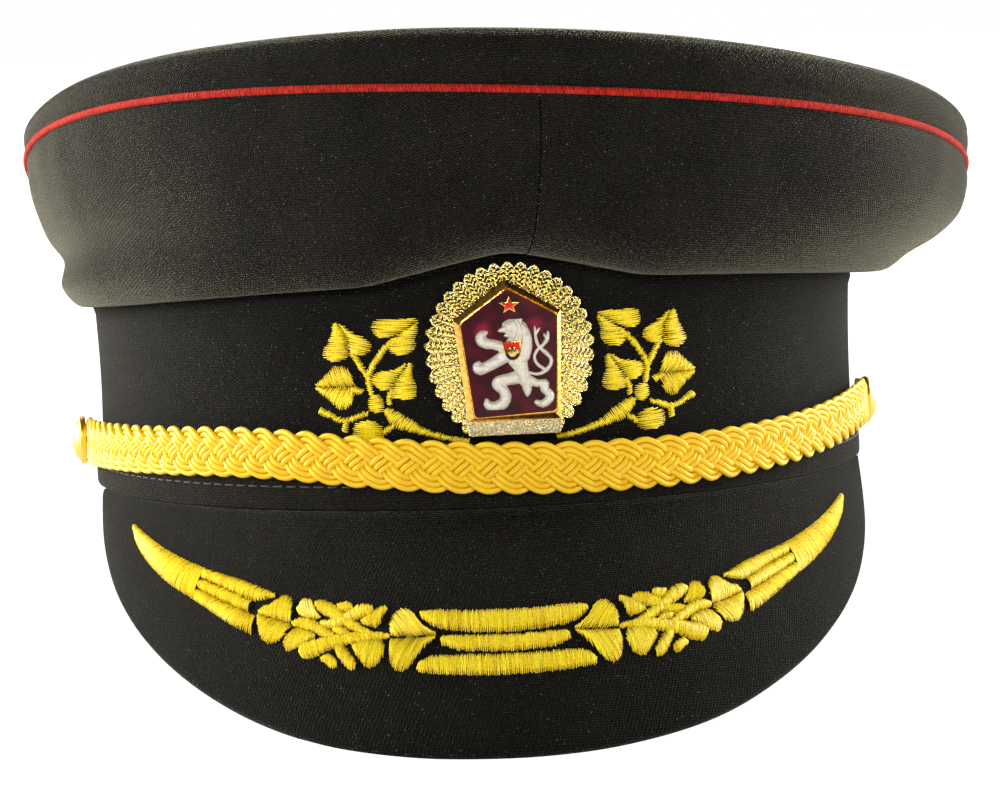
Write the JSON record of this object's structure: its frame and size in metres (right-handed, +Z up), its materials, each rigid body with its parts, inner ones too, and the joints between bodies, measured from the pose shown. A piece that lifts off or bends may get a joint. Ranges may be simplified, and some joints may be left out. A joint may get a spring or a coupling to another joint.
{
  "type": "peaked cap",
  "caption": "Dark cloth peaked dress cap with red piped crown, plaited gold chin cord, gold embroidered peak and branches, and a gilt and enamel badge.",
  "frame": {"origin": "centre of the bounding box's footprint, on the surface that the cap rests on", "axes": "+Z up, -Y towards the cap's front and peak, +X towards the viewer's right of the badge"},
  "size_m": [0.2214, 0.2894, 0.1274],
  "materials": {
    "cloth": "fine wool twill, dark olive brown",
    "piping": "red woven piping",
    "thread": "golden satin stitch thread",
    "plait": "smooth yellow gold gimp cord",
    "gilt": "stamped and gilt",
    "enamel": "glossy wine red enamel",
    "silver": "satin silver",
    "red": "glossy red enamel"
  },
  "bodies": {
    "root": {"band": "cloth", "band_edge": "cloth", "crown_side": "cloth", "crown_top": "cloth", "crown_piping": "piping", "peak": "cloth", "peak_bar_top": "thread", "peak_bar_middle": "thread", "peak_bar_bottom": "thread", "peak_horn_left": "thread", "peak_horn_right": "thread", "peak_outer_leaf_left": "thread", "peak_outer_leaf_right": "thread", "peak_inner_leaf_left": "thread", "peak_inner_leaf_right": "thread", "peak_sprig_left": "thread", "peak_sprig_right": "thread", "branch_left": "thread", "branch_right": "thread", "chin_braid": "plait", "button_left": "gilt", "button_right": "gilt", "badge_wreath": "gilt", "badge_shield": "gilt", "badge_enamel": "enamel", "badge_lion": "silver", "badge_star": "red", "badge_chest_shield": "red"}
  },
  "joints": []
}
